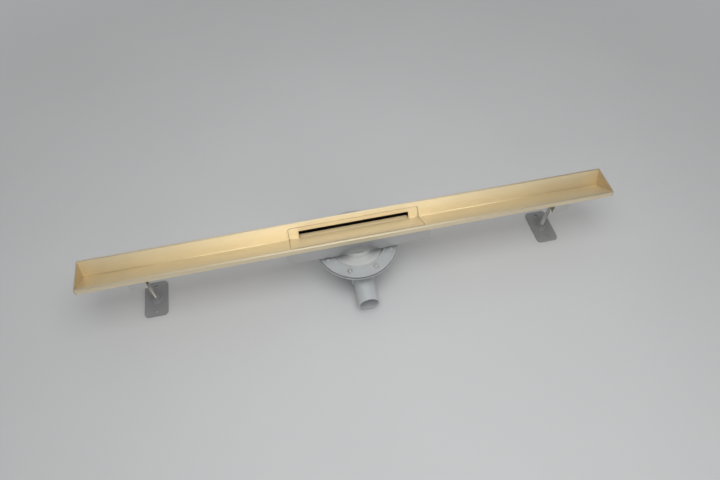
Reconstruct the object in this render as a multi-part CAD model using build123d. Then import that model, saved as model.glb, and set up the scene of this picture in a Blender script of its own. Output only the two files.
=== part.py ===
from build123d import *

import os
from math import cos, hypot, radians, sin

# Linear shower drain for the foot of a wall, in millimetres.
# +X runs along the channel, +Y points to the wall, and +Z is up.
# z = 0 is the plane that the trap body and the two feet stand on.

# Channel: one folded sheet with a steep face at the wall and a gentle one at the room
overall_length = 1000.0
channel_width = 63.0
channel_depth = 29.0
valley_offset = 15.0
channel_sheet = 1.5
rim_width = 3.0
rim_radius = 0.8
skirt_height = 12.0
valley_radius = 1.0

# End caps: plates that close the cut ends, with a lip under the two faces
cap_sheet = 1.5
cap_drop = 4.0
cap_foot = 6.0
cap_corner = 3.0
cap_lip_length = 8.0
cap_lip_sheet = 1.2
cap_lip_front = 40.0
cap_lip_back = 20.0
bond_gap = 0.1

# Cover: the flush insert, measured up each face from the valley
cover_length = 250.0
cover_front = 48.5
cover_back = 22.0
cover_sheet = 1.5
cover_gap = 0.8
cover_corner = 4.0
slot_length = 212.0
slot_rise = 14.4
tongue_length = 8.99
tongue_angle = 4.5
tongue_relief = 0.6
tongue_root = 5.0

# Ledge and buffers that carry the cover
ledge_width = 6.0
ledge_sheet = 1.2
ledge_step = 1.5
buffer_height = 0.8
buffer_radius = 2.2
buffer_spacing = 200.0

# Outlet tray with its spigot
tray_sheet = 1.2
tray_margin = 6.0
tray_lap = 7.0
tray_clearance = 8.0
tray_fall = 7.0
tray_standoff = 4.0
tray_mouth = 4.5
spigot_radius = 24.0
spigot_wall = 1.2
spigot_clearance = 1.5

# Hair strainer
strainer_wall = 1.5
strainer_depth = 12.0
strainer_play = 0.8
strainer_hole_radius = 1.9
strainer_hole_pitch = 6.2
strainer_rings = 2
strainer_slots = 12
strainer_slot_width = 3.0
strainer_slot_margin = 1.5
handle_height = 11.0
handle_width = 6.0
handle_bar = 2.5

# Trap: cup, dip tube and body, from the floor up
base_rib = 2.0
base_ring_width = 6.0
base_ring_inset = 6.0
body_wall = 3.0
pot_corner = 6.0
neck_height = 6.0
cup_foot_height = 2.0
cup_foot_radius = 3.0
cup_foot_inset = 6.0
cup_wall = 2.0
cup_corner = 4.0
dip_clearance = 6.0
water_seal = 30.0
overflow_room = 12.0
dip_bore_radius = 22.0
dip_wall = 2.0
cup_annulus = 9.0
pot_annulus = 12.0
guide_rib = 2.0
guide_play = 0.2
dip_flange = 6.0
dip_web = 2.5
dip_rim_width = 5.0
flange_play = 0.5
o_ring_section = 3.0
o_ring_squeeze = 0.05
groove_play = 0.1
collar_height = 12.0
collar_wall = 2.0
seal_width = 3.5
seal_height = 6.0
seal_play = 0.1

# Body flange, gasket, clamp ring and screws
seat_width = 3.0
flange_recess = 1.0
flange_thickness = 4.0
flange_width = 25.0
flange_edge = 1.5
gasket_thickness = 2.0
ring_thickness = 5.0
ring_inset = 1.0
ring_bead_width = 3.0
ring_bead_height = 1.5
screw_count = 8
screw_radius = 2.0
screw_play = 0.05
screw_hole_play = 0.3
screw_grip = 12.0
screw_spare = 2.0
screw_head_radius = 4.0
screw_head_height = 2.6
screw_socket = 2.0
screw_socket_depth = 1.4
boss_wall = 2.5
gusset_thickness = 2.5
gusset_drop = 12.0

# Outlet pipe of the body, towards the room along -Y
outlet_radius = 20.0
outlet_wall = 2.2
outlet_lift = 0.2
outlet_reach = 112.0
outlet_chamfer = 2.0
outlet_stop = 60.0
outlet_stop_width = 4.0
outlet_stop_height = 3.0

# Supports, studs, nuts and feet
support_inset = 100.0
support_width = 30.0
support_sheet = 2.0
support_bend = 1.0
support_clearance = 5.0
support_lap = 6.0
stud_radius = 4.0
thread_play = 0.1
stud_hole_play = 0.3
stud_spare = 1.0
nut_flats = 13.0
nut_height = 6.5
foot_length = 44.0
foot_width = 76.0
foot_thickness = 3.0
foot_corner = 8.0
foot_boss_radius = 9.0
foot_boss_height = 9.0
foot_boss_edge = 1.5
foot_flare = 3.0
foot_hole_radius = 2.75
foot_hole_spacing = 56.0

# Levels of the trap, each worked out from the one below it
pot_floor = base_rib + body_wall
cup_bottom = pot_floor + cup_foot_height
cup_floor = cup_bottom + cup_wall
dip_end = cup_floor + dip_clearance
cup_rim = dip_end + water_seal
seat_z = cup_rim + overflow_room
dip_top = seat_z + dip_flange
body_top = dip_top + flange_recess
gasket_top = body_top + gasket_thickness
ring_top = gasket_top + ring_thickness
collar_top = dip_top + collar_height
spigot_end = dip_top + spigot_clearance
tray_under = collar_top + tray_standoff
tray_floor = tray_under + tray_sheet

# The tongue's drop sets how deep the tray is, and that sets the rim
tongue_drop = tongue_length * sin(radians(tongue_angle)) + cover_sheet
tray_edge = tray_floor + tray_fall
rim_z = tray_edge + tray_clearance + tongue_drop + channel_depth
skirt_z = rim_z - skirt_height
bar_top = rim_z - channel_depth - support_clearance
bar_bottom = bar_top - support_sheet

# Radii of the trap, each worked out from the one inside it
dip_radius = dip_bore_radius + dip_wall
cup_inside = dip_radius + cup_annulus
cup_radius = cup_inside + cup_wall
pot_inside = cup_radius + pot_annulus
pot_radius = pot_inside + body_wall
bore_radius = pot_inside + seat_width + flange_play
neck_radius = bore_radius + body_wall
flange_radius = neck_radius + flange_width
collar_inside = spigot_radius + seal_width
ring_inside = bore_radius + body_wall
ring_outside = flange_radius - ring_inset
screw_circle = (ring_inside + ring_outside) / 2
boss_radius = screw_radius + boss_wall
outlet_bore = outlet_radius - outlet_wall
outlet_z = pot_floor + outlet_bore + outlet_lift

# The two faces of the trough, as unit directions (y, z) up each face and down through its sheet
half_width = channel_width / 2
inner_half = half_width - channel_sheet
front_run = half_width - rim_width + valley_offset
back_run = half_width - rim_width - valley_offset
front_slant = hypot(front_run, channel_depth)
back_slant = hypot(back_run, channel_depth)
valley = (valley_offset, rim_z - channel_depth)
front_up = (-front_run / front_slant, channel_depth / front_slant)
back_up = (back_run / back_slant, channel_depth / back_slant)
front_down = (-front_up[1], front_up[0])
back_down = (back_up[1], -back_up[0])


def along(start, direction, distance):
    """The point at a distance from start."""
    return (start[0] + direction[0] * distance, start[1] + direction[1] * distance)


def on_front(up, below=0.0):
    """A point up the front face from the valley, and below its surface."""
    return along(along(valley, front_up, up), front_down, below)


def on_back(up, below=0.0):
    """A point up the back face from the valley, and below its surface."""
    return along(along(valley, back_up, up), back_down, below)


def corner_below(first, second, below):
    """Where two faces that meet at the valley meet again, below their surfaces."""
    share = below / (1.0 + first[0] * second[0] + first[1] * second[1])
    return (valley[0] + (first[0] + second[0]) * share, valley[1] + (first[1] + second[1]) * share)


def fold_below(below):
    """The fold of a sheet's surface at a depth below the trough."""
    return corner_below(front_down, back_down, below)


def rounded(face, corners):
    """A flat outline with the named corners rounded, as (point, radius) pairs."""
    for point, radius in corners:
        nearest = face.vertices().sort_by_distance((*point, 0.0))[0]
        face = fillet(nearest, radius)
    return face


def outline(points, corners=()):
    """A flat outline from its corner points."""
    return rounded(make_face(Polyline(*points, close=True)), corners)


def prism_x(face, start, end):
    """A (y, z) outline drawn out along X."""
    return extrude(Plane.YZ.offset(start) * face, amount=end - start)


def prism_y(face, half):
    """An (x, z) outline drawn out along Y, the same each way."""
    return extrude(Plane.XZ * face, amount=half, both=True)


def turned(points, corners=()):
    """A solid turned about Z from (radius, z) points."""
    return revolve(Plane.XZ * outline(points, corners), axis=Axis.Z)


def drum(radius, bottom, top, x=0.0, y=0.0):
    """An upright cylinder between two levels."""
    return Pos(x, y, (bottom + top) / 2) * Cylinder(radius, top - bottom)


def around(count, radius, turn=0.0):
    """Places on a circle about Z, each turned to face outward."""
    return [Rot(0, 0, turn + 360.0 * k / count) * Pos(radius, 0, 0) for k in range(count)]


def fold_sheet(front, back, below, thickness):
    """The (y, z) section of a sheet folded along the valley."""
    top_fold = fold_below(below)
    under_fold = fold_below(below + thickness)
    points = [
        on_front(front, below),
        top_fold,
        on_back(back, below),
        on_back(back, below + thickness),
        under_fold,
        on_front(front, below + thickness),
    ]
    bend = max(valley_radius + below, 0.0)
    corners = [(under_fold, valley_radius + below + thickness)]
    if bend > 0.0:
        corners.append((top_fold, bend))
    return outline(points, corners)


def folded_plate(length, front, back, below, thickness, corner):
    """A folded sheet, centred on X, with the four corners of its outline rounded."""
    plate = prism_x(fold_sheet(front, back, below, thickness), -length / 2, length / 2)
    middle = below + thickness / 2
    places = [on_front(front, middle), on_back(back, middle)]
    edges = [
        plate.edges().sort_by_distance((x, *place))[0]
        for x in (-length / 2, length / 2)
        for place in places
    ]
    return fillet(edges, corner)


def channel_section():
    """The section of the channel's sheet: skirt, rim, front face, back face, rim and skirt."""
    under_rim = rim_z - channel_sheet
    front_reach = (channel_depth - channel_sheet - front_down[1] * channel_sheet) / front_up[1]
    back_reach = (channel_depth - channel_sheet - back_down[1] * channel_sheet) / back_up[1]
    front_top = (-half_width + rim_width, rim_z)
    back_top = (half_width - rim_width, rim_z)
    under_fold = fold_below(channel_sheet)
    top = [
        (-half_width, skirt_z),
        (-half_width, rim_z),
        front_top,
        valley,
        back_top,
        (half_width, rim_z),
        (half_width, skirt_z),
    ]
    under = [
        (inner_half, skirt_z),
        (inner_half, under_rim),
        on_back(back_reach, channel_sheet),
        under_fold,
        on_front(front_reach, channel_sheet),
        (-inner_half, under_rim),
        (-inner_half, skirt_z),
    ]
    corners = [
        ((-half_width, rim_z), rim_radius),
        ((half_width, rim_z), rim_radius),
        (front_top, rim_radius),
        (back_top, rim_radius),
        (valley, valley_radius),
        (under_fold, valley_radius + channel_sheet),
    ]
    return top, under, corners


def channel():
    """The folded channel with the pressed ledge and the opening in its middle."""
    top, under, corners = channel_section()
    end = overall_length / 2 - cap_sheet
    sheet = prism_x(outline(top + under, corners), -end, end)

    recess_depth = cover_sheet + buffer_height
    reach = cover_gap + ledge_step
    seat = folded_plate(
        cover_length + 2 * reach,
        cover_front + reach,
        cover_back + reach,
        channel_sheet,
        recess_depth + ledge_sheet - channel_sheet,
        cover_corner + reach,
    )
    recess = folded_plate(
        cover_length + 2 * cover_gap,
        cover_front + cover_gap,
        cover_back + cover_gap,
        -channel_sheet,
        channel_sheet + recess_depth,
        cover_corner + cover_gap,
    )
    opening = folded_plate(
        cover_length - 2 * ledge_width,
        cover_front - ledge_width,
        cover_back - ledge_width,
        0.0,
        recess_depth + 2 * ledge_sheet,
        cover_corner,
    )
    return sheet + seat - recess - opening


def right_end_cap():
    """The plate on the right-hand end, with the lip that is bonded under the two faces."""
    inside = overall_length / 2 - cap_sheet
    bottom = rim_z - channel_depth - cap_drop
    low_back = (valley_offset + cap_foot, bottom)
    low_front = (valley_offset - cap_foot, bottom)
    points = [
        (-half_width, skirt_z),
        (-half_width, rim_z),
        (half_width, rim_z),
        (half_width, skirt_z),
        low_back,
        low_front,
    ]
    corners = [
        ((-half_width, rim_z), rim_radius),
        ((half_width, rim_z), rim_radius),
        (low_back, cap_corner),
        (low_front, cap_corner),
    ]
    plate = prism_x(outline(points, corners), inside, inside + cap_sheet)
    lip_section = fold_sheet(cap_lip_front, cap_lip_back, channel_sheet + bond_gap, cap_lip_sheet)
    lip = prism_x(lip_section, inside - cap_lip_length, inside)
    return plate + lip


def cover():
    """The flush insert: a folded sheet with a window in its back face, above a nearly level tongue."""
    sheet = folded_plate(cover_length, cover_front, cover_back, 0.0, cover_sheet, cover_corner)

    spare = 2 * cover_sheet
    window = [
        on_front(tongue_root, -spare),
        on_back(slot_rise, -spare),
        on_back(slot_rise, cover_sheet + spare),
        fold_below(cover_sheet + spare),
        on_front(tongue_root, cover_sheet + spare),
    ]
    half_slot = slot_length / 2
    cut = prism_x(outline(window), -half_slot, half_slot)

    turn = radians(tongue_angle)
    tongue_out = (cos(turn), -sin(turn))
    tongue_down = (-sin(turn), -cos(turn))
    tip = along(valley, tongue_out, tongue_length)
    under_bend = corner_below(front_down, tongue_down, cover_sheet)
    tongue = [
        on_front(tongue_root + cover_sheet),
        valley,
        tip,
        along(tip, tongue_down, cover_sheet),
        under_bend,
        on_front(tongue_root + cover_sheet, cover_sheet),
    ]
    bends = [(valley, valley_radius), (under_bend, valley_radius + cover_sheet)]
    half_tongue = half_slot - tongue_relief
    return sheet - cut + prism_x(outline(tongue, bends), -half_tongue, half_tongue)


def cover_buffers():
    """Four soft pads on the ledge, two under each long edge of the cover."""
    pads = []
    inset = ledge_width / 2
    for face, up, down in (
        (on_front, cover_front - inset, front_down),
        (on_back, cover_back - inset, back_down),
    ):
        for x in (-buffer_spacing / 2, buffer_spacing / 2):
            y, z = face(up, cover_sheet)
            seat = Plane(origin=(x, y, z), x_dir=(1, 0, 0), z_dir=(0, *down))
            pads.append(extrude(seat * Circle(buffer_radius), amount=buffer_height))
    return pads


def outlet_tray():
    """The pan under the cover: it laps inside the skirts, falls to the middle and ends in a spigot."""
    inside = cover_length / 2 + cover_gap + ledge_step + tray_margin
    outside = inside + tray_sheet
    flat = spigot_radius + tray_mouth
    wall_top = skirt_z + tray_lap
    outer = [
        (-outside, wall_top),
        (-outside, tray_edge - tray_sheet),
        (-flat, tray_under),
        (flat, tray_under),
        (outside, tray_edge - tray_sheet),
        (outside, wall_top),
    ]
    inner = [
        (-inside, rim_z),
        (-inside, tray_edge),
        (-flat, tray_floor),
        (flat, tray_floor),
        (inside, tray_edge),
        (inside, rim_z),
    ]
    pan = prism_y(outline(outer), inner_half) - prism_y(outline(inner), inner_half - tray_sheet)

    underside = channel_section()[1]
    above = [(-inner_half, rim_z), (inner_half, rim_z)]
    bend = (fold_below(channel_sheet), valley_radius + channel_sheet)
    filled = outline([*underside[1:-1], *above], [bend])
    pan -= prism_x(filled, -outside, outside)

    pipe = drum(spigot_radius, spigot_end, tray_floor)
    return pan + pipe - drum(spigot_radius - spigot_wall, spigot_end, tray_floor)


def hair_strainer():
    """The sieve in the spigot's mouth: a slotted cup with a wide rim and a staple handle."""
    radius = spigot_radius - spigot_wall - strainer_play
    inside = radius - strainer_wall
    rim_outside = spigot_radius + tray_mouth - strainer_play
    bottom = tray_floor - strainer_depth
    rim_top = tray_floor + strainer_wall
    sieve = turned(
        [
            (0, bottom),
            (radius, bottom),
            (radius, tray_floor),
            (rim_outside, tray_floor),
            (rim_outside, rim_top),
            (inside, rim_top),
            (inside, bottom + strainer_wall),
            (0, bottom + strainer_wall),
        ]
    )
    hole = drum(strainer_hole_radius, bottom, bottom + strainer_wall)
    holes = [hole]
    for ring in range(1, strainer_rings + 1):
        places = around(6 * ring, ring * strainer_hole_pitch)
        holes += [place * hole for place in places]
    slot_low = bottom + strainer_wall + strainer_slot_margin
    slot_high = tray_floor - strainer_slot_margin
    slot_middle = (slot_low + slot_high) / 2
    slot = Box(2 * strainer_wall, strainer_slot_width, slot_high - slot_low)
    wall_middle = (inside + radius) / 2
    slots = [Pos(0, 0, slot_middle) * place * slot for place in around(strainer_slots, wall_middle)]
    sieve = sieve - holes - slots

    reach = (inside + rim_outside) / 2
    high = rim_top + handle_height
    low_bar = high - handle_bar
    staple = [
        (-reach, rim_top),
        (-reach, high),
        (reach, high),
        (reach, rim_top),
        (reach - handle_bar, rim_top),
        (reach - handle_bar, low_bar),
        (handle_bar - reach, low_bar),
        (handle_bar - reach, rim_top),
    ]
    bends = [((-reach, high), handle_bar), ((reach, high), handle_bar)]
    return sieve + prism_y(outline(staple, bends), handle_width / 2)


def spigot_seal():
    """The lip ring between the spigot and the collar of the dip tube."""
    bottom = collar_top - seal_height
    outside = collar_inside - seal_play
    tip = spigot_radius + seal_play
    heel = spigot_radius + seal_width / 2
    return turned(
        [
            (heel, bottom),
            (outside, bottom),
            (outside, collar_top),
            (heel, collar_top),
            (tip, bottom + seal_height / 2),
        ]
    )


def dip_tube():
    """The flanged tube that dips into the cup, with a ring groove and an inlet collar."""
    flange = bore_radius - flange_play
    groove_depth = o_ring_section - flange_play + 2 * o_ring_squeeze
    groove = flange - groove_depth
    middle = (seat_z + dip_top) / 2
    half_groove = o_ring_section / 2 + groove_play
    rim_inside = groove - dip_rim_width
    web_top = seat_z + dip_web
    collar_outside = collar_inside + collar_wall
    return turned(
        [
            (dip_bore_radius, dip_end),
            (dip_radius, dip_end),
            (dip_radius, seat_z),
            (flange, seat_z),
            (flange, middle - half_groove),
            (groove, middle - half_groove),
            (groove, middle + half_groove),
            (flange, middle + half_groove),
            (flange, dip_top),
            (rim_inside, dip_top),
            (rim_inside, web_top),
            (collar_outside, web_top),
            (collar_outside, collar_top),
            (collar_inside, collar_top),
            (collar_inside, dip_top),
            (dip_bore_radius, dip_top),
        ]
    )


def dip_tube_o_ring():
    """The ring in the groove of the dip tube's flange."""
    section = o_ring_section / 2
    circle = bore_radius - o_ring_squeeze - section
    return Pos(0, 0, (seat_z + dip_top) / 2) * Torus(circle, section)


def trap_cup():
    """The cup that holds the water, on three feet, with three ribs that centre the dip tube."""
    bowl = turned(
        [
            (0, cup_bottom),
            (cup_radius, cup_bottom),
            (cup_radius, cup_rim),
            (cup_inside, cup_rim),
            (cup_inside, cup_floor),
            (0, cup_floor),
        ],
        [
            ((cup_radius, cup_bottom), cup_corner),
            ((cup_inside, cup_floor), cup_corner - cup_wall),
        ],
    )
    foot = drum(cup_foot_radius, pot_floor, cup_bottom + cup_wall / 2)
    feet = [place * foot for place in around(3, cup_inside - cup_foot_inset)]
    rib_inside = dip_radius + guide_play
    rib_outside = cup_inside + cup_wall / 2
    rib_low = dip_end + dip_clearance
    rib_high = cup_rim - dip_clearance
    rib = Pos(0, 0, (rib_low + rib_high) / 2) * Box(
        rib_outside - rib_inside, guide_rib, rib_high - rib_low
    )
    ribs = [place * rib for place in around(3, (rib_inside + rib_outside) / 2, 60.0)]
    return bowl + feet + ribs


def trap_body():
    """The moulded pot: base ribs, seat, clamping flange with bosses and gussets, and outlet pipe."""
    flange_under = body_top - flange_thickness
    neck_low = seat_z - neck_height
    flare_low = neck_low - (neck_radius - pot_radius)
    shell = turned(
        [
            (0, base_rib),
            (pot_radius, base_rib),
            (pot_radius, flare_low),
            (neck_radius, neck_low),
            (neck_radius, flange_under),
            (flange_radius, flange_under),
            (flange_radius, body_top),
            (0, body_top),
        ],
        [((pot_radius, base_rib), pot_corner), ((flange_radius, flange_under), flange_edge)],
    )
    base_radius = pot_radius - base_ring_inset
    base_ring = drum(base_radius, 0, pot_floor)
    base_ring -= drum(base_radius - base_ring_width, 0, base_rib)
    bar_length = 2 * base_radius - base_ring_width
    bar = Pos(0, 0, base_rib / 2) * Box(bar_length, body_wall, base_rib)
    base_ring += [bar, Rot(0, 0, 90) * bar]

    boss_low = flange_under - screw_grip
    boss = drum(boss_radius, boss_low, body_top)
    gusset = prism_y(
        outline(
            [
                (neck_radius - body_wall, flange_under),
                (screw_circle, flange_under),
                (screw_circle, boss_low),
                (pot_radius - body_wall / 2, boss_low - gusset_drop),
                (pot_radius - body_wall / 2, flare_low),
            ]
        ),
        gusset_thickness / 2,
    )
    turn = 180.0 / screw_count
    bosses = [place * boss for place in around(screw_count, screw_circle, turn)]
    gussets = [place * gusset for place in around(screw_count, 0.0, turn)]

    stop_radius = outlet_radius + outlet_stop_height
    pipe_section = outline(
        [
            (0, 0),
            (0, outlet_radius),
            (outlet_stop - outlet_stop_width, outlet_radius),
            (outlet_stop - outlet_stop_width, stop_radius),
            (outlet_stop, stop_radius),
            (outlet_stop, outlet_radius),
            (outlet_reach - outlet_chamfer, outlet_radius),
            (outlet_reach, outlet_radius - outlet_chamfer / 2),
            (outlet_reach, 0),
        ]
    )
    to_room = Pos(0, 0, outlet_z) * Rot(0, 0, -90)
    pipe = to_room * revolve(Plane.XZ * pipe_section, axis=Axis.X)

    hollow = turned(
        [
            (0, pot_floor),
            (pot_inside, pot_floor),
            (pot_inside, seat_z),
            (bore_radius, seat_z),
            (bore_radius, body_top),
            (0, body_top),
        ],
        [((pot_inside, pot_floor), pot_corner - body_wall)],
    )
    outlet_hole = to_room * Rot(0, 90, 0) * Cylinder(
        outlet_bore, outlet_reach, align=(Align.CENTER, Align.CENTER, Align.MIN)
    )
    screw_end = ring_top - screw_shank()
    screw_hole = drum(screw_radius + screw_play, screw_end - screw_spare, body_top)
    screw_holes = [place * screw_hole for place in around(screw_count, screw_circle, turn)]
    body = shell + base_ring + pipe + bosses + gussets
    return body - hollow - outlet_hole - screw_holes


def screw_shank():
    """How far a clamp screw reaches below its head."""
    return ring_thickness + gasket_thickness + flange_thickness + screw_grip - 2 * screw_spare


def flange_gasket():
    """The flat ring on the body's flange, with holes for the screws."""
    ring = drum(ring_outside, body_top, gasket_top) - drum(ring_inside, body_top, gasket_top)
    hole = drum(screw_radius + screw_hole_play, body_top, gasket_top)
    turn = 180.0 / screw_count
    return ring - [place * hole for place in around(screw_count, screw_circle, turn)]


def clamp_ring():
    """The ring on the gasket, with a bead round each edge and a pad under each screw head."""
    web_top = ring_top - ring_bead_height
    ring = turned(
        [
            (ring_inside, gasket_top),
            (ring_outside, gasket_top),
            (ring_outside, ring_top),
            (ring_outside - ring_bead_width, ring_top),
            (ring_outside - ring_bead_width, web_top),
            (ring_inside + ring_bead_width, web_top),
            (ring_inside + ring_bead_width, ring_top),
            (ring_inside, ring_top),
        ]
    )
    pad = drum(screw_head_radius + ring_bead_height, gasket_top, ring_top)
    hole = drum(screw_radius + screw_hole_play, gasket_top, ring_top)
    places = around(screw_count, screw_circle, 180.0 / screw_count)
    return ring + [place * pad for place in places] - [place * hole for place in places]


def clamp_screws():
    """The screws that pull the clamp ring down, as separate solids."""
    head_top = ring_top + screw_head_height
    crown = screw_head_height / 2
    screw = turned(
        [
            (0, ring_top - screw_shank()),
            (screw_radius, ring_top - screw_shank()),
            (screw_radius, ring_top),
            (screw_head_radius, ring_top),
            (screw_head_radius, head_top),
            (0, head_top),
        ],
        [((screw_head_radius, head_top), crown)],
    )
    socket = Pos(0, 0, head_top - screw_socket_depth) * extrude(
        RegularPolygon(screw_socket, 6), amount=screw_socket_depth
    )
    screw -= socket
    return [place * screw for place in around(screw_count, screw_circle, 180.0 / screw_count)]


def support(middle):
    """A saddle under the channel, welded inside its skirts and drilled for the stud."""
    ear = inner_half - support_sheet
    ear_top = skirt_z + support_lap
    points = [
        (-inner_half, ear_top),
        (-inner_half, bar_bottom),
        (inner_half, bar_bottom),
        (inner_half, ear_top),
        (ear, ear_top),
        (ear, bar_top),
        (-ear, bar_top),
        (-ear, ear_top),
    ]
    corners = [
        ((-inner_half, bar_bottom), support_bend + support_sheet),
        ((inner_half, bar_bottom), support_bend + support_sheet),
        ((ear, bar_top), support_bend),
        ((-ear, bar_top), support_bend),
    ]
    half = support_width / 2
    strip = prism_x(outline(points, corners), middle - half, middle + half)
    return strip - drum(stud_radius + stud_hole_play, bar_bottom, bar_top, middle)


def leg_studs():
    """The two threaded studs, from the feet to above the saddles."""
    top = bar_top + nut_height + stud_spare
    return [drum(stud_radius, foot_thickness, top, x) for x in support_places()]


def leg_nuts():
    """A nut above and a nut below each saddle."""
    nut = extrude(RegularPolygon(nut_flats / 2, 6, major_radius=False), amount=nut_height)
    nut -= drum(stud_radius + thread_play, 0, nut_height)
    levels = (bar_top, bar_bottom - nut_height)
    return [Pos(x, 0, z) * nut for x in support_places() for z in levels]


def support_places():
    """Where the two saddles stand along the channel."""
    place = overall_length / 2 - support_inset
    return (-place, place)


def foot(middle):
    """A foot plate with a boss that holds the stud and two holes for floor screws."""
    plate = extrude(RectangleRounded(foot_length, foot_width, foot_corner), amount=foot_thickness)
    boss_top = foot_thickness + foot_boss_height
    boss = turned(
        [
            (0, 0),
            (foot_boss_radius + foot_flare, 0),
            (foot_boss_radius + foot_flare, foot_thickness),
            (foot_boss_radius, foot_thickness + foot_flare),
            (foot_boss_radius, boss_top),
            (0, boss_top),
        ],
        [((foot_boss_radius, boss_top), foot_boss_edge)],
    )
    socket = drum(stud_radius + thread_play, foot_thickness, boss_top)
    half = foot_hole_spacing / 2
    holes = [drum(foot_hole_radius, 0, foot_thickness, 0, y) for y in (-half, half)]
    return Pos(middle, 0, 0) * (plate + boss - socket - holes)


def save(name, shape):
    """Writes one node, a single solid or a group of separate ones."""
    solids = shape if isinstance(shape, list) else [shape]
    group = Compound(children=[solid for item in solids for solid in item.solids()])
    export_step(group, f"parts/{name}.step")


def main():
    os.makedirs("parts", exist_ok=True)
    left, right = support_places()
    end_cap = right_end_cap()
    pieces = {
        "channel": channel(),
        "right_end_cap": end_cap,
        "left_end_cap": mirror(end_cap, about=Plane.YZ),
        "cover": cover(),
        "cover_buffers": cover_buffers(),
        "outlet_tray": outlet_tray(),
        "hair_strainer": hair_strainer(),
        "spigot_seal": spigot_seal(),
        "dip_tube": dip_tube(),
        "dip_tube_o_ring": dip_tube_o_ring(),
        "trap_cup": trap_cup(),
        "trap_body": trap_body(),
        "flange_gasket": flange_gasket(),
        "clamp_ring": clamp_ring(),
        "clamp_screws": clamp_screws(),
        "left_support": support(left),
        "right_support": support(right),
        "leg_studs": leg_studs(),
        "leg_nuts": leg_nuts(),
        "left_foot": foot(left),
        "right_foot": foot(right),
    }
    for name, shape in pieces.items():
        save(name, shape)


if __name__ == "__main__":
    main()
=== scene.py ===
"""Looks of a linear shower drain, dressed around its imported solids.

Lengths are in metres. +X runs along the channel, +Y points to its steep back face and +Z is up.
"""

import logging
import math
import random
from dataclasses import dataclass, field
from enum import Enum
from functools import lru_cache
from typing import Dict, List, Mapping, Sequence, Tuple, Union

import bmesh
import bpy
from mathutils import Matrix, Vector


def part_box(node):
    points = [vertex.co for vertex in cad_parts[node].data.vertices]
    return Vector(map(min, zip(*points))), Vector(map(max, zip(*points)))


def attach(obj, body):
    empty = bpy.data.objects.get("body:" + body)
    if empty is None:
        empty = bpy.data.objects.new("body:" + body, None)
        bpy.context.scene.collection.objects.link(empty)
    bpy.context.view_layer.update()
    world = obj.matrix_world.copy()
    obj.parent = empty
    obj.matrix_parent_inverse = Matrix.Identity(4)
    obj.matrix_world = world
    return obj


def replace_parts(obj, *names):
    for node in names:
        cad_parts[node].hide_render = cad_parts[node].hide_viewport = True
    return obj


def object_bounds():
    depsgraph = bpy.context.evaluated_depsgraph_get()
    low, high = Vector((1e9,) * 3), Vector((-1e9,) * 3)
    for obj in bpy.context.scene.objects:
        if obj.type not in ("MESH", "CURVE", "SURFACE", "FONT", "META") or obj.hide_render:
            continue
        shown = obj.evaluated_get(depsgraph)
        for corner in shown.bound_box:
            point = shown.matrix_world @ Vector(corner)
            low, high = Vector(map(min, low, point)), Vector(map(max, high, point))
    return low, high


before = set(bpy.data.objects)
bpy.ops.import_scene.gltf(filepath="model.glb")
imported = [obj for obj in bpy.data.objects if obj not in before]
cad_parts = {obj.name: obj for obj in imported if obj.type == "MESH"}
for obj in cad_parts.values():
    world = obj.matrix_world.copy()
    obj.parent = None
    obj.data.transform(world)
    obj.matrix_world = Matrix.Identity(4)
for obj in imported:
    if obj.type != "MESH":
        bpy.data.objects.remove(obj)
CAD_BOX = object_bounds()

# The trough's section: two faces fall from the rims to the valley, and skirts hang outside them
RIM_LEVEL = CAD_BOX[1].z
CHANNEL_DEPTH = 0.029
SKIRT_HEIGHT = 0.012
VALLEY_Y = 0.015
FRONT_RUN = 0.0435
BACK_RUN = 0.0135
VALLEY_LEVEL = RIM_LEVEL - CHANNEL_DEPTH
SKIRT_LEVEL = RIM_LEVEL - SKIRT_HEIGHT
FRONT_UPHILL = tuple(Vector((0.0, -FRONT_RUN, CHANNEL_DEPTH)).normalized())
UP = (0.0, 0.0, 1.0)

IMAGE_WIDTH = 720
SENSOR_WIDTH_MM = 36.0
LOG = logging.getLogger("shower_drain")

Colour = Tuple[float, float, float]
Point = Tuple[float, float, float]
Value = Union["Wire", float]
Tone = Union["Wire", Colour]
Way = Union["Wire", Point]


# Node trees


class Wire:
    """An output socket of a node tree that takes part in Python arithmetic."""

    def __init__(self, bench: "Bench", socket: bpy.types.NodeSocket) -> None:
        """Wraps one output of the bench's tree."""
        self.bench = bench
        self.socket = socket

    def _math(self, operation: str, first: Value, second: Value) -> "Wire":
        """Adds one Math node on two values."""
        return self.bench.node("ShaderNodeMath", {"operation": operation}, {0: first, 1: second})

    def __add__(self, other: Value) -> "Wire":
        """This value plus another."""
        return self._math("ADD", self, other)

    def __radd__(self, other: Value) -> "Wire":
        """Another value plus this one."""
        return self._math("ADD", other, self)

    def __sub__(self, other: Value) -> "Wire":
        """This value less another."""
        return self._math("SUBTRACT", self, other)

    def __rsub__(self, other: Value) -> "Wire":
        """Another value less this one."""
        return self._math("SUBTRACT", other, self)

    def __mul__(self, other: Value) -> "Wire":
        """This value times another."""
        return self._math("MULTIPLY", self, other)

    def __rmul__(self, other: Value) -> "Wire":
        """Another value times this one."""
        return self._math("MULTIPLY", other, self)

    def unsigned(self) -> "Wire":
        """This value without its sign."""
        return self._math("ABSOLUTE", self, 0.0)

    def larger(self, other: Value) -> "Wire":
        """The larger of this value and another."""
        return self._math("MAXIMUM", self, other)

    def smaller(self, other: Value) -> "Wire":
        """The smaller of this value and another."""
        return self._math("MINIMUM", self, other)

    def above(self, level: float, width: float) -> "Wire":
        """A mask that rises from 0 to 1 over a width about a level.

        Args:
            level: the value at the middle of the rise.
            width: how far the rise reaches.

        Returns:
            The mask, clamped to 0 and 1.
        """
        sockets = {"Value": self, "From Min": level - width / 2, "From Max": level + width / 2}
        return self.bench.node("ShaderNodeMapRange", {"interpolation_type": "SMOOTHSTEP"}, sockets)


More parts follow.
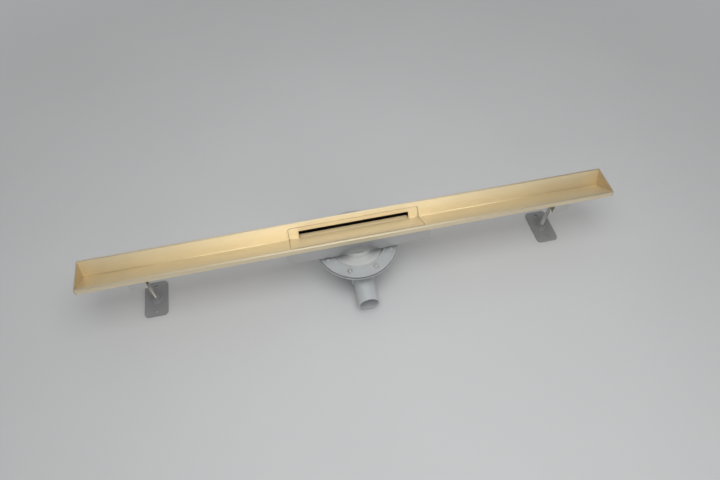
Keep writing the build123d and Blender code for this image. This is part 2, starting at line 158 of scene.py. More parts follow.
class Bench:
    """A node tree that is being written, for a material or the world."""

    # The numbered sockets of a Mix node that carry colours
    MIX_INPUTS = (6, 7)
    MIX_RESULT = 2

    def __init__(self, tree: bpy.types.NodeTree) -> None:
        """Starts from an empty tree."""
        tree.nodes.clear()
        self.tree = tree

    def node(
        self,
        kind: str,
        settings: Mapping[str, object],
        sockets: Mapping[Union[str, int], object],
        output: Union[str, int] = 0,
    ) -> Wire:
        """Adds a node, sets it and feeds its sockets.

        Args:
            kind: the node's type name.
            settings: the node's own attributes, which are set first.
            sockets: a value or a Wire for each input, by name or number.
            output: which output to return.

        Returns:
            The output, or an empty Wire for a node without one.
        """
        made = self.tree.nodes.new(kind)
        for name, value in settings.items():
            setattr(made, name, value)
        for key, value in sockets.items():
            if isinstance(value, Wire):
                self.tree.links.new(value.socket, made.inputs[key])
            else:
                made.inputs[key].default_value = value
        return Wire(self, made.outputs[output] if len(made.outputs) else None)

    def place(self) -> Wire:
        """The shaded point, in the piece's own coordinates."""
        return self.node("ShaderNodeTexCoord", {}, {}, "Object")

    def axis(self, vector: Wire, name: str) -> Wire:
        """One part of a vector, by the name of its axis."""
        return self.node("ShaderNodeSeparateXYZ", {}, {0: vector}, name)

    def noise(self, cells: Union[float, Point], detail: float = 2.0) -> Wire:
        """A cloudy value about zero on the piece's own coordinates.

        Args:
            cells: cells per metre along each axis, or one number for all three.
            detail: octaves of finer clouds.

        Returns:
            A value that stays mostly between -0.25 and 0.25.
        """
        scale = cells if isinstance(cells, tuple) else (cells,) * 3
        spread = self.node("ShaderNodeVectorMath", {"operation": "MULTIPLY"}, {0: self.place(), 1: scale})
        return self.node("ShaderNodeTexNoise", {}, {"Vector": spread, "Scale": 1.0, "Detail": detail}) - 0.5

    def mix(self, share: Value, first: Tone, second: Tone, blend: str = "MIX") -> Wire:
        """A colour between two.

        Args:
            share: how much of the second colour, or of what it makes of the first, is taken.
            first: the colour to start from.
            second: the colour that is brought in.
            blend: how the second colour works on the first.

        Returns:
            The colour.
        """
        sockets = {0: share}
        for key, tone in zip(self.MIX_INPUTS, (first, second)):
            sockets[key] = tone if isinstance(tone, Wire) else (*tone, 1.0)
        settings = {"data_type": "RGBA", "blend_type": blend}
        return self.node("ShaderNodeMix", settings, sockets, self.MIX_RESULT)

    def lean(self, way: Way) -> Wire:
        """How far a face looks along a way, as the dot product of its normal and the way."""
        look = self.node("ShaderNodeNewGeometry", {}, {}, "Normal")
        return self.node("ShaderNodeVectorMath", {"operation": "DOT_PRODUCT"}, {0: look, 1: way}, "Value")

    def facing(self, point: Point, fade: float = 1e-4) -> Wire:
        """A mask that is 1 on faces that look towards a point, and 0 on the others."""
        way = self.node("ShaderNodeVectorMath", {"operation": "SUBTRACT"}, {0: point, 1: self.place()})
        return self.lean(way).above(0.0, fade)

    def level(self, from_lean: float, to_lean: float) -> Wire:
        """A mask of the faces that look up, which rises from one upward share of the normal to another."""
        return self.lean(UP).above((from_lean + to_lean) / 2, to_lean - from_lean)

    def bump(self, height: Wire, depth: float) -> Wire:
        """A normal from a height, where 1 stands for a depth in metres."""
        return self.node("ShaderNodeBump", {}, {"Height": height, "Distance": depth, "Strength": 1.0})


# Finishes


class Grain(Enum):
    """The axis along which the abrasive belt ran over a sheet."""

    ALONG = 0
    ACROSS = 1

    def stretch(self, long: float, fine: float) -> Point:
        """Cells of a scratch pattern per metre along X, Y and Z.

        Args:
            long: cells per metre along the grain.
            fine: cells per metre across it.

        Returns:
            The scale for the three axes.
        """
        return tuple(long if axis == self.value else fine for axis in range(3))


@dataclass(frozen=True)
class Finish:
    """A surface finish that writes its own material.

    Of a pattern's fields, cells are its cells per metre, tone is how far it moves the mix of two colours,
    and rough is how far it moves the roughness.
    """

    name: str
    slot: str

    def coat(self, bench: Bench) -> Dict[str, object]:
        """What feeds each socket of the surface's shader, which each kind of finish writes."""
        raise NotImplementedError(self.name)

    @lru_cache(maxsize=None)
    def material(self) -> bpy.types.Material:
        """Writes the finish's material, once.

        Returns:
            The material.
        """
        made = bpy.data.materials.new(self.name)
        made.use_nodes = True
        bench = Bench(made.node_tree)
        surface = bench.node("ShaderNodeBsdfPrincipled", {}, self.coat(bench))
        bench.node("ShaderNodeOutputMaterial", {}, {"Surface": surface})
        return made


@dataclass(frozen=True)
class BrushedSheet(Finish):
    """Sheet metal with fine scratches along its grain and a soft, cloudy tone."""

    light: Colour
    dark: Colour
    roughness: float
    grain: Grain
    metal: float = 1.0
    scratch: float = 8e-6
    fine_cells: Tuple[float, float] = (7.0, 1500.0)
    fine_share: float = 0.6
    broad_cells: Tuple[float, float] = (2.5, 170.0)
    broad_share: float = 0.8
    streak_tone: float = 1.1
    streak_rough: float = 0.16
    cloud_cells: float = 7.0
    cloud_tone: float = 0.7
    cloud_rough: float = 0.10

    def coat(self, bench: Bench) -> Dict[str, object]:
        """Scratches that vary the tint, the gloss and the normal.

        Args:
            bench: the material's tree.

        Returns:
            What feeds each socket of the metal's shader.
        """
        fine = bench.noise(self.grain.stretch(*self.fine_cells), detail=3.0)
        broad = bench.noise(self.grain.stretch(*self.broad_cells))
        cloud = bench.noise(self.cloud_cells)
        streak = fine * self.fine_share + broad * self.broad_share
        share = 0.5 + streak * self.streak_tone + cloud * self.cloud_tone
        return {
            "Base Color": bench.mix(share, self.dark, self.light),
            "Metallic": self.metal,
            "Roughness": self.roughness + streak * self.streak_rough + cloud * self.cloud_rough,
            "Normal": bench.bump(self.relief(bench, streak), self.scratch),
        }

    def relief(self, bench: Bench, streak: Wire) -> Wire:
        """The height of the surface, in scratches."""
        return streak


@dataclass(frozen=True)
class PressedChannel(BrushedSheet):
    """A brushed V-shaped sheet with painted shade on the pressed recess below its two faces, where the
    cover sits.
    """

    # Painted shade: the colour of the recess below the two faces.
    ledge_shade: Colour = (0.30, 0.25, 0.17)
    reach: float = 0.0012
    from_lean: float = 0.1
    to_lean: float = 0.3

    def coat(self, bench: Bench) -> Dict[str, object]:
        """The brushed sheet, with painted shade on what looks up from below its two faces.

        Args:
            bench: the material's tree.

        Returns:
            What feeds each socket of the metal's shader.
        """
        sockets = super().coat(bench)
        point = bench.place()
        away = bench.axis(point, "Y") - VALLEY_Y
        rise = (away * (CHANNEL_DEPTH / BACK_RUN)).larger(away * (-CHANNEL_DEPTH / FRONT_RUN))
        sunk = rise.smaller(CHANNEL_DEPTH) + VALLEY_LEVEL - bench.axis(point, "Z")
        # Painted shade: the recess that lies below the two faces is darkened in its colour.
        pressed = sunk.above(self.reach, self.reach) * bench.level(self.from_lean, self.to_lean)
        sockets["Base Color"] = bench.mix(pressed, sockets["Base Color"], self.ledge_shade)
        return sockets


@dataclass(frozen=True)
class FoldedCover(BrushedSheet):
    """A brushed cover, finely blasted where its front runs to the slot, where a painted tint stands in for
    the light those shaded faces lack, and with painted shade on its front cut edge.
    """

    blasted_metal: float = 0.20
    blasted_roughness: float = 0.60
    # Painted light: a tint that stands in for the light that the shaded faces beside the slot lack.
    tint: Colour = (1.04, 0.96, 0.79)
    from_lean: float = 0.60
    to_lean: float = 0.80
    half_slot: float = 0.106
    end_fade: float = 0.012
    zone_height: float = 0.024
    zone_fade: float = 0.024
    pit_cells: float = 2200.0
    # Painted shade: the colour of the front cut edge, which lies in the gap beside the channel.
    edge_shade: Colour = (0.13, 0.105, 0.075)
    edge_lean: float = 0.65
    edge_fade: float = 0.40
    edge_from: float = -0.022
    edge_reach: float = 0.002

    def blasted(self, bench: Bench) -> Wire:
        """A mask of the faces that look up beside the slot, which fades out up the front face.

        Args:
            bench: the material's tree.

        Returns:
            The mask.
        """
        point = bench.place()
        beyond = bench.axis(point, "X").unsigned().above(self.half_slot, self.end_fade)
        higher = bench.axis(point, "Z").above(VALLEY_LEVEL + self.zone_height, self.zone_fade)
        return bench.level(self.from_lean, self.to_lean) * (1.0 - beyond) * (1.0 - higher)

    def cut_edge(self, bench: Bench) -> Wire:
        """A mask of the sheet's cut edge along the front of the cover."""
        behind = bench.axis(bench.place(), "Y").above(self.edge_from, self.edge_reach)
        return bench.lean(FRONT_UPHILL).above(self.edge_lean, self.edge_fade) * (1.0 - behind)

    def coat(self, bench: Bench) -> Dict[str, object]:
        """The brushed sheet, with its blasted faces duller and given a deeper painted tint in place of the
        light that they lack in shade, and painted shade on its front edge.

        Args:
            bench: the material's tree.

        Returns:
            What feeds each socket of the metal's shader.
        """
        sockets = super().coat(bench)
        mask = self.blasted(bench)
        # Painted light: the shaded faces beside the slot are tinted in place of the light that they lack.
        painted_lift = bench.mix(mask, sockets["Base Color"], self.tint, "MULTIPLY")
        # Painted shade: the front cut edge, in the gap, is coloured dark.
        sockets["Base Color"] = bench.mix(self.cut_edge(bench), painted_lift, self.edge_shade)
        sockets["Metallic"] = self.metal - mask * (self.metal - self.blasted_metal)
        sockets["Roughness"] = sockets["Roughness"] + mask * (self.blasted_roughness - self.roughness)
        return sockets

    def relief(self, bench: Bench, streak: Wire) -> Wire:
        """Scratches on the brushed face, and fine pits on the blasted ones."""
        pits = bench.noise(self.pit_cells)
        return streak + self.blasted(bench) * (pits - streak)


@dataclass(frozen=True)
class ShadedInsideTray(BrushedSheet):
    """A tray that is brushed outside, and duller inside, with painted shade on its inner faces."""

    middle: Point = (0.0, 0.0, 0.105)
    # Painted shade: the colour of the inner faces, which lie in shade under the slot.
    scale: Colour = (0.085, 0.08, 0.075)
    dullness: float = 0.22

    def coat(self, bench: Bench) -> Dict[str, object]:
        """The brushed sheet, with painted shade on the faces that look to the tray's middle.

        Args:
            bench: the material's tree.

        Returns:
            What feeds each socket of the metal's shader.
        """
        sockets = super().coat(bench)
        inside = bench.facing(self.middle)
        # Painted shade: the faces that look to the tray's middle are darkened.
        sockets["Base Color"] = bench.mix(inside, sockets["Base Color"], self.scale)
        sockets["Roughness"] = sockets["Roughness"] + inside * self.dullness
        return sockets


@dataclass(frozen=True)
class ZincPlate(Finish):
    """Bright zinc on steel, with a faint spangle and a warm passivated bloom."""

    light: Colour
    bloom: Colour
    bloom_share: float = 0.30
    roughness: float = 0.36
    spangle_cells: float = 260.0
    spangle_tone: float = 0.5
    spangle_rough: float = 0.22
    cloud_cells: float = 45.0
    cloud_tone: float = 1.4
    cloud_rough: float = 0.12
    pit_cells: float = 2400.0
    pit_depth: float = 1.5e-5

    def coat(self, bench: Bench) -> Dict[str, object]:
        """Patches of bloom over a finely pitted plate.

        Args:
            bench: the material's tree.

        Returns:
            What feeds each socket of the plate's shader.
        """
        spangle = bench.noise(self.spangle_cells, detail=1.0)
        cloud = bench.noise(self.cloud_cells, detail=3.0)
        pits = bench.noise(self.pit_cells)
        share = self.bloom_share + cloud * self.cloud_tone + spangle * self.spangle_tone
        return {
            "Base Color": bench.mix(share, self.light, self.bloom),
            "Metallic": 1.0,
            "Roughness": self.roughness + spangle * self.spangle_rough + cloud * self.cloud_rough,
            "Normal": bench.bump(pits, self.pit_depth),
        }


@dataclass(frozen=True)
class WeldMetal(Finish):
    """A weld bead with a straw-coloured heat tint."""

    light: Colour
    tint: Colour
    tint_share: float = 0.45
    roughness: float = 0.34
    band_cells: float = 110.0
    band_tone: float = 1.8
    pit_cells: float = 1800.0
    pit_rough: float = 0.25
    pit_depth: float = 2e-5

    def coat(self, bench: Bench) -> Dict[str, object]:
        """Bands of heat tint along the bead.

        Args:
            bench: the material's tree.

        Returns:
            What feeds each socket of the bead's shader.
        """
        band = bench.noise(self.band_cells)
        pits = bench.noise(self.pit_cells)
        return {
            "Base Color": bench.mix(self.tint_share + band * self.band_tone, self.light, self.tint),
            "Metallic": 1.0,
            "Roughness": self.roughness + pits * self.pit_rough,
            "Normal": bench.bump(pits, self.pit_depth),
        }


@dataclass(frozen=True)
class MouldedPlastic(Finish):
    """Injection-moulded plastic with a spark-eroded texture, flow marks and light scuffs."""

    light: Colour
    dark: Colour
    scuff: Colour
    roughness: float
    texture_cells: float = 2600.0
    texture_tone: float = 0.5
    texture_rough: float = 0.12
    texture_depth: float = 2.5e-5
    flow_cells: Point = (16.0, 16.0, 42.0)
    flow_tone: float = 1.5
    flow_rough: float = 0.18
    rub_cells: Point = (38.0, 620.0, 38.0)
    rub_level: float = 0.17
    rub_fade: float = 0.05
    rub_tone: float = 0.25
    rub_rough: float = 0.10

    def coat(self, bench: Bench) -> Dict[str, object]:
        """Fine texture, slow tone changes, and a few scuffs that are paler and duller.

        Args:
            bench: the material's tree.

        Returns:
            What feeds each socket of the plastic's shader.
        """
        texture = bench.noise(self.texture_cells)
        flow = bench.noise(self.flow_cells, detail=3.0)
        rub = bench.noise(self.rub_cells).above(self.rub_level, self.rub_fade)
        share = 0.5 + flow * self.flow_tone + texture * self.texture_tone
        tone = bench.mix(share, self.dark, self.light)
        moulded = self.roughness + flow * self.flow_rough + texture * self.texture_rough
        return {
            "Base Color": bench.mix(rub * self.rub_tone, tone, self.scuff),
            "Roughness": moulded + rub * self.rub_rough,
            "Normal": bench.bump(texture, self.texture_depth),
        }


@dataclass(frozen=True)
class SealRubber(Finish):
    """Dull black rubber with a faint grey bloom."""

    black: Colour
    bloom: Colour
    bloom_share: float = 0.30
    roughness: float = 0.68
    patch_cells: float = 90.0
    patch_tone: float = 1.6
    patch_rough: float = 0.25
    grain_cells: float = 3000.0
    grain_rough: float = 0.15
    grain_depth: float = 2e-5

    def coat(self, bench: Bench) -> Dict[str, object]:
        """Bloom in soft patches over a fine grain.

        Args:
            bench: the material's tree.

        Returns:
            What feeds each socket of the rubber's shader.
        """
        patch = bench.noise(self.patch_cells, detail=3.0)
        grain = bench.noise(self.grain_cells, detail=1.0)
        return {
            "Base Color": bench.mix(self.bloom_share + patch * self.patch_tone, self.black, self.bloom),
            "Roughness": self.roughness + patch * self.patch_rough + grain * self.grain_rough,
            "Normal": bench.bump(grain, self.grain_depth),
        }


GOLD_LIGHT = (0.93, 0.825, 0.61)
GOLD_DARK = (0.85, 0.735, 0.52)
GOLD_CHANNEL = PressedChannel(
    "brushed_gold", "gold", GOLD_LIGHT, GOLD_DARK, roughness=0.47, grain=Grain.ALONG, metal=0.95
)
GOLD_COVER = FoldedCover(
    "brushed_gold_cover", "gold", GOLD_LIGHT, GOLD_DARK, roughness=0.47, grain=Grain.ALONG, metal=0.95
)
# Painted shade: the end caps are the channel's gold, made darker here to stand in for the shade at the
# drain's two ends.
GOLD_ACROSS_SHADED = BrushedSheet(
    "brushed_gold_end_shaded",
    "gold",
    light=(0.70, 0.60, 0.43),
    dark=(0.62, 0.525, 0.365),
    roughness=0.66,
    grain=Grain.ACROSS,
)
STEEL_LIGHT = (0.64, 0.64, 0.63)
STEEL_DARK = (0.50, 0.50, 0.50)
STEEL = BrushedSheet("satin_steel", "steel", STEEL_LIGHT, STEEL_DARK, roughness=0.33, grain=Grain.ALONG)
TRAY_STEEL = ShadedInsideTray("tray_steel", "steel", STEEL_LIGHT, STEEL_DARK, roughness=0.33, grain=Grain.ALONG)
ZINC = ZincPlate("zinc_plate", "zinc", light=(0.63, 0.65, 0.67), bloom=(0.62, 0.57, 0.45))
WELD = WeldMetal("weld_metal", "steel", light=(0.60, 0.60, 0.60), tint=(0.58, 0.43, 0.24))
BODY_PLASTIC = MouldedPlastic(
    "body_plastic",
    "body_plastic",
    light=(0.50, 0.52, 0.53),
    dark=(0.40, 0.42, 0.43),
    scuff=(0.62, 0.63, 0.63),
    roughness=0.44,
)
INSERT_PLASTIC = MouldedPlastic(
    "insert_plastic",
    "insert_plastic",
    light=(0.74, 0.75, 0.74),
    dark=(0.64, 0.65, 0.64),
    scuff=(0.80, 0.80, 0.80),
    roughness=0.38,
)
FOOT_PLASTIC = MouldedPlastic(
    "foot_plastic",
    "foot_plastic",
    light=(0.30, 0.305, 0.31),
    dark=(0.23, 0.235, 0.24),
    scuff=(0.42, 0.42, 0.42),
    roughness=0.50,
)
RUBBER = SealRubber("seal_rubber", "seal_rubber", black=(0.02, 0.02, 0.021), bloom=(0.055, 0.055, 0.055))


# Meshes


def new_piece(name: str, mesh: bmesh.types.BMesh, finish: Finish, smooth_below: float) -> bpy.types.Object:
    """Turns a mesh into a piece of the drain that rides on its root.

    Args:
        name: the piece's name.
        mesh: the mesh, which is freed.
        finish: the finish of the whole piece.
        smooth_below: faces that meet at less than this angle, in degrees, shade as one.

    Returns:
        The piece, in the scene.
    """
    bmesh.ops.recalc_face_normals(mesh, faces=mesh.faces)
    data = bpy.data.meshes.new(name)
    mesh.to_mesh(data)
    mesh.free()
    data.shade_smooth()
    data.set_sharp_from_angle(angle=math.radians(smooth_below))
    data.materials.append(finish.material())
    piece = bpy.data.objects.new(name, data)
    bpy.context.scene.collection.objects.link(piece)
    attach(piece, "root")
    return piece


def skin(mesh: bmesh.types.BMesh, rings: Sequence[Sequence[Point]], closed: bool) -> None:
    """Joins rings of points, each as long as the next, by quads.

    Args:
        mesh: the mesh that is added to.
        rings: the points of each ring, in order round it.
        closed: whether the last ring joins the first one; open ends are capped.
    """
    loops = [[mesh.verts.new(point) for point in ring] for ring in rings]
    pairs = list(zip(loops, loops[1:] + loops[:1]))
    for low, high in pairs if closed else pairs[:-1]:
        for k in range(len(low)):
            after = (k + 1) % len(low)
            mesh.faces.new((low[k], low[after], high[after], high[k]))
    if not closed:
        mesh.faces.new(loops[0])
        mesh.faces.new(loops[-1])


@dataclass(frozen=True)
class StudThread:
    """A metric thread on a plain stud: root and crest flats with 60 degree flanks.

    The depth and the two flats are shares of the pitch, and the ends' radius is a share of the root's.
    """

    radius: float
    pitch: float = 0.00125
    depth: float = 0.6134
    root_flat: float = 0.25
    crest_flat: float = 0.125
    end: float = 0.96
    steps: int = 28
    spare_turns: int = 2
    smooth_below: float = 25.0

    def add(self, mesh: bmesh.types.BMesh, x: float, low: float, high: float) -> None:
        """Adds an upright threaded stud with chamfered ends.

        Args:
            mesh: the mesh that is added to.
            x: where the stud stands.
            low: its lower end.
            high: its upper end.
        """
        root = self.radius - self.depth * self.pitch
        crest = (1.0 + self.root_flat - self.crest_flat) / 2
        profile = (
            (0.0, root),
            (self.root_flat, root),
            (crest, self.radius),
            (crest + self.crest_flat, self.radius),
        )
        turns = math.ceil((high - low) / self.pitch) + 2 * self.spare_turns
        last = turns * self.steps
        rod = bmesh.new()
        rows = []
        for share, radius in profile:
            row = []
            for step in range(last + 1):
                z = low + (step / self.steps + share - self.spare_turns) * self.pitch
                room = max(min(z - low, high - z), 0.0)
                reach = min(radius, root * self.end + room)
                angle = math.tau * step / self.steps
                row.append(rod.verts.new((x + reach * math.cos(angle), reach * math.sin(angle), z)))
            rows.append(row)
        for step in range(last):
            for below, over in zip(rows, rows[1:]):
                rod.faces.new((below[step], below[step + 1], over[step + 1], over[step]))
            turn = step + self.steps
            if turn < last:
                rod.faces.new((rows[-1][step], rows[-1][step + 1], rows[0][turn + 1], rows[0][turn]))
        self.trim(rod, low, high)
        part = bpy.data.meshes.new("stud_part")
        rod.to_mesh(part)
        rod.free()
        mesh.from_mesh(part)
        bpy.data.meshes.remove(part)

    def trim(self, rod: bmesh.types.BMesh, low: float, high: float) -> None:
        """Cuts the spare turns off a rod and closes its ends.

        Args:
            rod: the threaded rod.
            low: its lower end.
            high: its upper end.
        """
        for level, inward in ((low, 1.0), (high, -1.0)):
            geometry = [*rod.verts, *rod.edges, *rod.faces]
            cut = bmesh.ops.bisect_plane(
                rod, geom=geometry, plane_co=(0, 0, level), plane_no=(0, 0, inward), clear_inner=True
            )
            rim = [item for item in cut["geom_cut"] if isinstance(item, bmesh.types.BMEdge)]
            bmesh.ops.edgeloop_fill(rod, edges=rim)


@dataclass(frozen=True)
class HexNut:
    """A hexagon nut with chamfered corners and a countersunk bore."""

    flats: float
    height: float
    bore: float
    countersink: float = 0.0006
    washer_share: float = 0.95
    chamfer: float = 30.0
    columns: int = 72
    smooth_below: float = 20.0

    def add(self, mesh: bmesh.types.BMesh, x: float, bottom: float) -> None:
        """Adds one nut about an upright axis.

        Args:
            mesh: the mesh that is added to.
            x: where its axis stands.
            bottom: the level of its lower face.
        """
        apothem = self.flats / 2
        washer = self.washer_share * apothem
        wide = self.bore + self.countersink
        slope = math.tan(math.radians(self.chamfer))
        sector = math.tau / 6
        rings = []
        for k in range(self.columns):
            angle = math.tau * k / self.columns
            side = apothem / math.cos(angle % sector - sector / 2)
            drop = (side - washer) * slope
            section = (
                (wide, 0.0),
                (self.bore, self.countersink),
                (self.bore, self.height - self.countersink),
                (wide, self.height),
                (washer, self.height),
                (side, self.height - drop),
                (side, drop),
                (washer, 0.0),
            )
            rings.append(
                [(x + r * math.cos(angle), r * math.sin(angle), bottom + z) for r, z in section]
            )
        skin(mesh, rings, closed=True)


@dataclass(frozen=True)
class WeldBead:
    """A rippled bead of weld metal, whose swell, scatter and ends are shares of its radius."""

    radius: float
    ripple: float = 0.0014
    swell: float = 0.14
    scatter: float = 0.05
    tip: float = 0.35
    tip_growth: float = 0.3
    samples: int = 4
    sides: int = 10
    smooth_below: float = 60.0

    def add(self, mesh: bmesh.types.BMesh, path: Sequence[Vector], closed: bool) -> None:
        """Adds a bead along a level path whose points are a sample apart.

        Args:
            mesh: the mesh that is added to.
            path: the points of its middle line.
            closed: whether the line runs back to its start.
        """
        chance = random.Random(len(path))
        rings = []
        count = len(path)
        angles = [math.tau * turn / self.sides for turn in range(self.sides)]
        for k, point in enumerate(path):
            before = path[k - 1] if closed or k else point
            after = path[(k + 1) % count] if closed or k + 1 < count else point
            run = (after - before).normalized()
            side = run.cross(Vector(UP))
            wave = self.swell * math.sin(math.tau * k / self.samples)
            swell = wave + chance.uniform(-self.scatter, self.scatter)
            from_end = min(k, count - 1 - k)
            end = 1.0 if closed else min(1.0, self.tip + self.tip_growth * from_end)
            reach = self.radius * (1.0 + swell) * end
            up = Vector((0, 0, reach))
            rings.append([point + side * (reach * math.cos(a)) + up * math.sin(a) for a in angles])
        skin(mesh, rings, closed)

    def straight(self, start: Vector, end: Vector) -> List[Vector]:
        """Points along a straight run of at least one ripple, a sample apart."""
        count = max(round((end - start).length * self.samples / self.ripple), self.samples)
        return [start.lerp(end, k / count) for k in range(count + 1)]

    def circle(self, radius: float, z: float) -> List[Vector]:
        """Points round a circle about Z, a sample apart.

        Args:
            radius: the circle's radius.
            z: its level.

        Returns:
            The points.
        """
        count = round(math.tau * radius / self.ripple) * self.samples
        angles = [math.tau * k / count for k in range(count)]
        return [Vector((radius * math.cos(a), radius * math.sin(a), z)) for a in angles]

    def under_skirts(self, mesh: bmesh.types.BMesh, node: str) -> None:
        """Adds a bead along each long side of a node, where the channel's skirts end on it.

        Args:
            mesh: the mesh that is added to.
            node: the node that laps inside the skirts.
        """
        low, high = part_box(node)
        z = SKIRT_LEVEL - self.radius / 2
        for y in (low.y - self.radius / 2, high.y + self.radius / 2):
            path = self.straight(Vector((low.x, y, z)), Vector((high.x, y, z)))
            self.add(mesh, path, closed=False)


# Sub-assemblies


@dataclass
class SubAssembly:
    """Pieces of the drain that are built and dressed together."""

    finishes: Dict[str, Finish]
    edge: float
    edge_steps: int = 2
    sharp_from: float = 40.0
    join_below: float = 1e-6

    def build(self) -> List[bpy.types.Object]:
        """Builds the pieces that the solids lack."""
        return []

    def dress(self) -> List[bpy.types.Object]:
        """Gives each solid its finish and eases its sharp edges.

        Returns:
            The solids' objects.
        """
        dressed = []
        for node, finish in self.finishes.items():
            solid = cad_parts[node]
            for place in solid.material_slots:
                place.material = finish.material()
            weld = solid.modifiers.new("join_faces", "WELD")
            weld.merge_threshold = self.join_below
            ease = solid.modifiers.new("ease_edges", "BEVEL")
            ease.width = self.edge
            ease.segments = self.edge_steps
            ease.limit_method = "ANGLE"
            ease.angle_limit = math.radians(self.sharp_from)
            ease.harden_normals = True
            dressed.append(solid)
        return dressed


@dataclass
class Trough(SubAssembly):
    """The gold channel with its end caps, its cover and the pads under it."""

    finishes: Dict[str, Finish] = field(
        default_factory=lambda: {
            "channel": GOLD_CHANNEL,
            "cover": GOLD_COVER,
            "left_end_cap": GOLD_ACROSS_SHADED,
            "right_end_cap": GOLD_ACROSS_SHADED,
            "cover_buffers": RUBBER,
        }
    )
    edge: float = 0.00018


@dataclass
class OutletTray(SubAssembly):
    """The steel tray under the cover, welded to the skirts, and the strainer in its spigot."""

    finishes: Dict[str, Finish] = field(
        default_factory=lambda: {"outlet_tray": TRAY_STEEL, "hair_strainer": INSERT_PLASTIC}
    )
    edge: float = 0.00018
    standoff: float = 0.004
    spigot_radius: float = 0.024
    seam: WeldBead = WeldBead(0.0009)
    ring: WeldBead = WeldBead(0.0011)

    def build(self) -> List[bpy.types.Object]:
        """Builds the weld beads: one under each skirt, and one round the spigot.

        Returns:
            The beads, as one piece.
        """
        mesh = bmesh.new()
        self.seam.under_skirts(mesh, "outlet_tray")
        tray_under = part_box("dip_tube")[1].z + self.standoff
        self.ring.add(mesh, self.ring.circle(self.spigot_radius, tray_under), closed=True)
        return [new_piece("tray_welds", mesh, WELD, self.ring.smooth_below)]


@dataclass
class Trap(SubAssembly):
    """The water-seal trap: body, cup, dip tube, seals, clamp ring and its screws."""

    finishes: Dict[str, Finish] = field(
        default_factory=lambda: {
            "trap_body": BODY_PLASTIC,
            "clamp_ring": BODY_PLASTIC,
            "dip_tube": INSERT_PLASTIC,
            "trap_cup": INSERT_PLASTIC,
            "spigot_seal": RUBBER,
            "dip_tube_o_ring": RUBBER,
            "flange_gasket": RUBBER,
            "clamp_screws": STEEL,
        }
    )
    edge: float = 0.0003


@dataclass
class Legs(SubAssembly):
    """The saddles, studs, nuts and feet."""

    finishes: Dict[str, Finish] = field(
        default_factory=lambda: {
            "left_support": ZINC,
            "right_support": ZINC,
            "left_foot": FOOT_PLASTIC,
            "right_foot": FOOT_PLASTIC,
        }
    )
    edge: float = 0.0003
    saddles: Tuple[str, str] = ("left_support", "right_support")
    stud_radius: float = 0.004
    thread_play: float = 0.0001
    nut_flats: float = 0.013
    nut_height: float = 0.0065
    bar_sheet: float = 0.002
    tack: WeldBead = WeldBead(0.0009)

    def build(self) -> List[bpy.types.Object]:
        """Builds the threaded studs, the nuts and the tack welds of the saddles.

        Returns:
            The three pieces.
        """
        boxes = [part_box(node) for node in self.saddles]
        places = [(low.x + high.x) / 2 for low, high in boxes]

        low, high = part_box("leg_studs")
        thread = StudThread(self.stud_radius)
        mesh = bmesh.new()
        for x in places:
            thread.add(mesh, x, low.z, high.z)
        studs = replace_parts(new_piece("threaded_studs", mesh, ZINC, thread.smooth_below), "leg_studs")

        bar_bottom = boxes[0][0].z
        nut = HexNut(self.nut_flats, self.nut_height, self.stud_radius + self.thread_play)
        mesh = bmesh.new()
        for x in places:
            nut.add(mesh, x, bar_bottom + self.bar_sheet)
            nut.add(mesh, x, bar_bottom - self.nut_height)
        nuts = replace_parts(new_piece("chamfered_nuts", mesh, ZINC, nut.smooth_below), "leg_nuts")

        mesh = bmesh.new()
        for node in self.saddles:
            self.tack.under_skirts(mesh, node)
        return [studs, nuts, new_piece("saddle_welds", mesh, WELD, self.tack.smooth_below)]


# Studio


@dataclass(frozen=True)
class SoftBox:
    """A rectangular lamp that is aimed at the drain, with its width level."""

    name: str
    place: Point
    width: float
    height: float
    share: float

    def hang(self, target: Vector) -> None:
        """Hangs the lamp, with the share of a plain white level that it gives at the target.

        Args:
            target: the point that the lamp is aimed at.
        """
        lamp = bpy.data.lights.new(self.name, "AREA")
        lamp.shape = "RECTANGLE"
        lamp.size = self.width
        lamp.size_y = self.height
        way = target - Vector(self.place)
        lamp.energy = self.share * (math.pi * way.length) ** 2
        made = bpy.data.objects.new(self.name, lamp)
        made.location = self.place
        made.rotation_euler = way.to_track_quat("-Z", "Y").to_euler()
        bpy.context.scene.collection.objects.link(made)


@dataclass(frozen=True)
class Camera:
    """The photograph's camera: where it stands, what is at the middle of its view, and its tilt."""

    place: Point = (-0.1084, -0.5617, 0.9106)
    target: Point = (0.0, -0.0341, 0.1264)
    roll: float = -0.83
    focal_pixels: float = 526.0

    def set_up(self) -> None:
        """Makes the scene's camera."""
        data = bpy.data.cameras.new("camera")
        data.lens = self.focal_pixels * SENSOR_WIDTH_MM / IMAGE_WIDTH
        data.sensor_width = SENSOR_WIDTH_MM
        camera = bpy.data.objects.new("camera", data)
        way = Vector(self.target) - Vector(self.place)
        aim = way.to_track_quat("-Z", "Y").to_matrix().to_4x4()
        tilt = Matrix.Rotation(math.radians(self.roll), 4, "Z")
        camera.matrix_world = Matrix.Translation(self.place) @ aim @ tilt
        bpy.context.scene.collection.objects.link(camera)
        bpy.context.scene.camera = camera


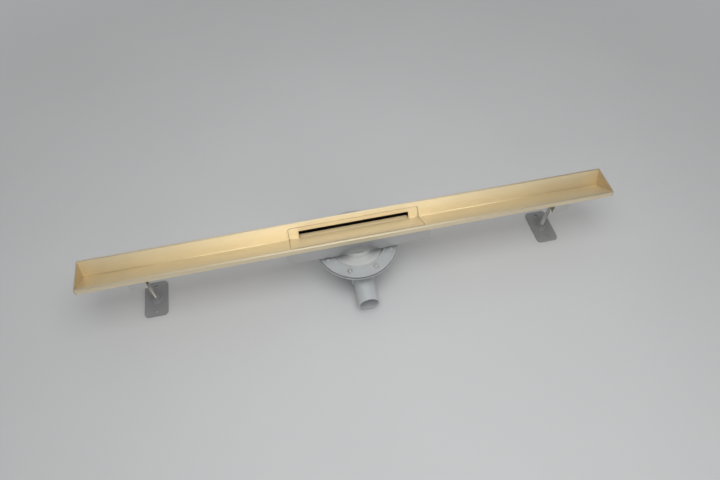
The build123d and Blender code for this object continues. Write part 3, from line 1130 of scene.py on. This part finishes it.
@dataclass(frozen=True)
class Studio:
    """A pale floor that fades into a pale room with dark flanks, and soft lamps.

    The flanks are given by the ways one looks: their share along X, and how steeply they rise.
    """

    floor: Colour = (0.585, 0.59, 0.595)
    floor_lift: float = 1.06
    floor_roughness: float = 0.75
    floor_cells: float = 3.0
    floor_tone: float = 1.2
    floor_radius: float = 3.0
    floor_sides: int = 96
    fade_from: float = 0.7
    fade_to: float = 1.9
    room: Colour = (0.40, 0.405, 0.41)
    flank: Colour = (0.03, 0.03, 0.03)
    flank_middle: float = -0.02
    flank_aside: float = 0.36
    flank_fade: float = 0.28
    flank_height: float = 0.45
    flank_rise: float = 0.20
    ambient: float = 0.40
    lamps: Tuple[SoftBox, ...] = (
        SoftBox("key", (0.03, -0.24, 1.25), width=1.0, height=0.90, share=0.48),
        SoftBox("front", (0.1, -1.2, 0.55), width=1.4, height=0.6, share=0.20),
        SoftBox("back", (0.2, 1.5, 2.2), width=2.4, height=1.6, share=0.05),
    )

    def light(self) -> None:
        """Hangs the lamps and lights the room."""
        low, high = CAD_BOX
        for lamp in self.lamps:
            lamp.hang((low + high) / 2)
        world = bpy.data.worlds.new("room")
        world.use_nodes = True
        bpy.context.scene.world = world
        bench = Bench(world.node_tree)
        seen = bench.node("ShaderNodeLightPath", {}, {}, "Is Camera Ray")
        mirrored = bench.node("ShaderNodeLightPath", {}, {}, "Is Glossy Ray")
        through = bench.node("ShaderNodeLightPath", {}, {}, "Is Transmission Ray")
        plain = (self.ambient,) * 3
        shown = bench.mix(seen + mirrored + through, plain, self.room_tone(bench))
        sky = bench.node("ShaderNodeBackground", {}, {"Color": shown})
        bench.node("ShaderNodeOutputWorld", {}, {"Surface": sky})

    def room_tone(self, bench: Bench) -> Wire:
        """The room's tone by the way one looks, which is darker high up beyond the drain's two ends.

        Args:
            bench: the world's tree.

        Returns:
            The colour.
        """
        way = bench.node("ShaderNodeTexCoord", {}, {}, "Generated")
        aside = (bench.axis(way, "X") - self.flank_middle).unsigned()
        high = bench.axis(way, "Z").above(self.flank_height, self.flank_rise)
        return bench.mix(aside.above(self.flank_aside, self.flank_fade) * high, self.room, self.flank)

    def lay_floor(self) -> bpy.types.Object:
        """Lays the floor on the plane that the drain stands on.

        Returns:
            The floor.
        """
        mesh = bmesh.new()
        bmesh.ops.create_circle(mesh, cap_ends=True, segments=self.floor_sides, radius=self.floor_radius)
        data = bpy.data.meshes.new("floor")
        mesh.to_mesh(data)
        mesh.free()
        floor = bpy.data.objects.new("floor", data)
        floor.location.z = CAD_BOX[0].z
        bpy.context.scene.collection.objects.link(floor)
        data.materials.append(self.floor_material())
        return floor

    def floor_material(self) -> bpy.types.Material:
        """A pale, faintly cloudy floor that fades out far from the drain.

        Returns:
            The material.
        """
        made = bpy.data.materials.new("pale_floor")
        made.use_nodes = True
        bench = Bench(made.node_tree)
        cloud = bench.noise(self.floor_cells, detail=4.0)
        paler = tuple(channel * self.floor_lift for channel in self.floor)
        tone = bench.mix(0.5 + cloud * self.floor_tone, self.floor, paler)
        sockets = {"Base Color": tone, "Roughness": self.floor_roughness}
        surface = bench.node("ShaderNodeBsdfPrincipled", {}, sockets)
        away = bench.node("ShaderNodeVectorMath", {"operation": "LENGTH"}, {0: bench.place()}, "Value")
        gone = away.above((self.fade_from + self.fade_to) / 2, self.fade_to - self.fade_from)
        clear = bench.node("ShaderNodeBsdfTransparent", {}, {})
        faded = bench.node("ShaderNodeMixShader", {}, {0: gone, 1: surface, 2: clear})
        bench.node("ShaderNodeOutputMaterial", {}, {"Surface": faded})
        return made


def main() -> None:
    """Builds and dresses the drain, one sub-assembly at a time, and sets up the studio."""
    logging.basicConfig(level=logging.INFO, format="%(name)s: %(message)s")
    bpy.context.scene.view_settings.view_transform = "Standard"
    for part in (Trough(), OutletTray(), Trap(), Legs()):
        for piece in part.build():
            LOG.info("built %s", piece.name)
        for piece in part.dress():
            LOG.info("dressed %s", piece.name)
    studio = Studio()
    studio.light()
    LOG.info("laid %s", studio.lay_floor().name)
    Camera().set_up()


if __name__ == "__main__":
    main()
